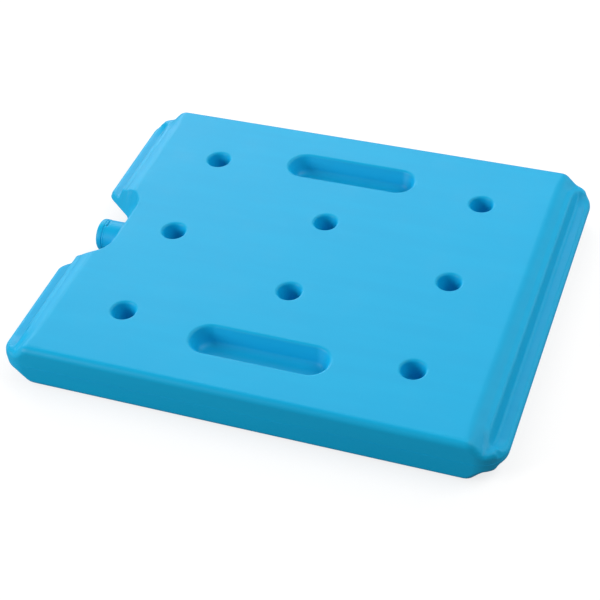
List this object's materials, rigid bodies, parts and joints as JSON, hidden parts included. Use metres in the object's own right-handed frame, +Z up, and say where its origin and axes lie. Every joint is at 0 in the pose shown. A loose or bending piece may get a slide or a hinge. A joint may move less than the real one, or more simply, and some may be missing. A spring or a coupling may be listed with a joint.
{
  "type": "reusable ice pack",
  "caption": "Flat rectangular cold plate with dimples, finger grips, railed ends and a filling neck sheltered in a notch.",
  "frame": {"origin": "centre of the underside", "axes": "+X along the long side, away from the notched end; +Y along the short side; +Z up through the thickness"},
  "size_m": [0.325, 0.265, 0.031],
  "materials": {
    "shell": "smooth satin polyethylene",
    "plug": "smooth satin polyethylene"
  },
  "bodies": {
    "root": {"pack_body": "shell", "filler_plug": "plug"}
  },
  "joints": []
}
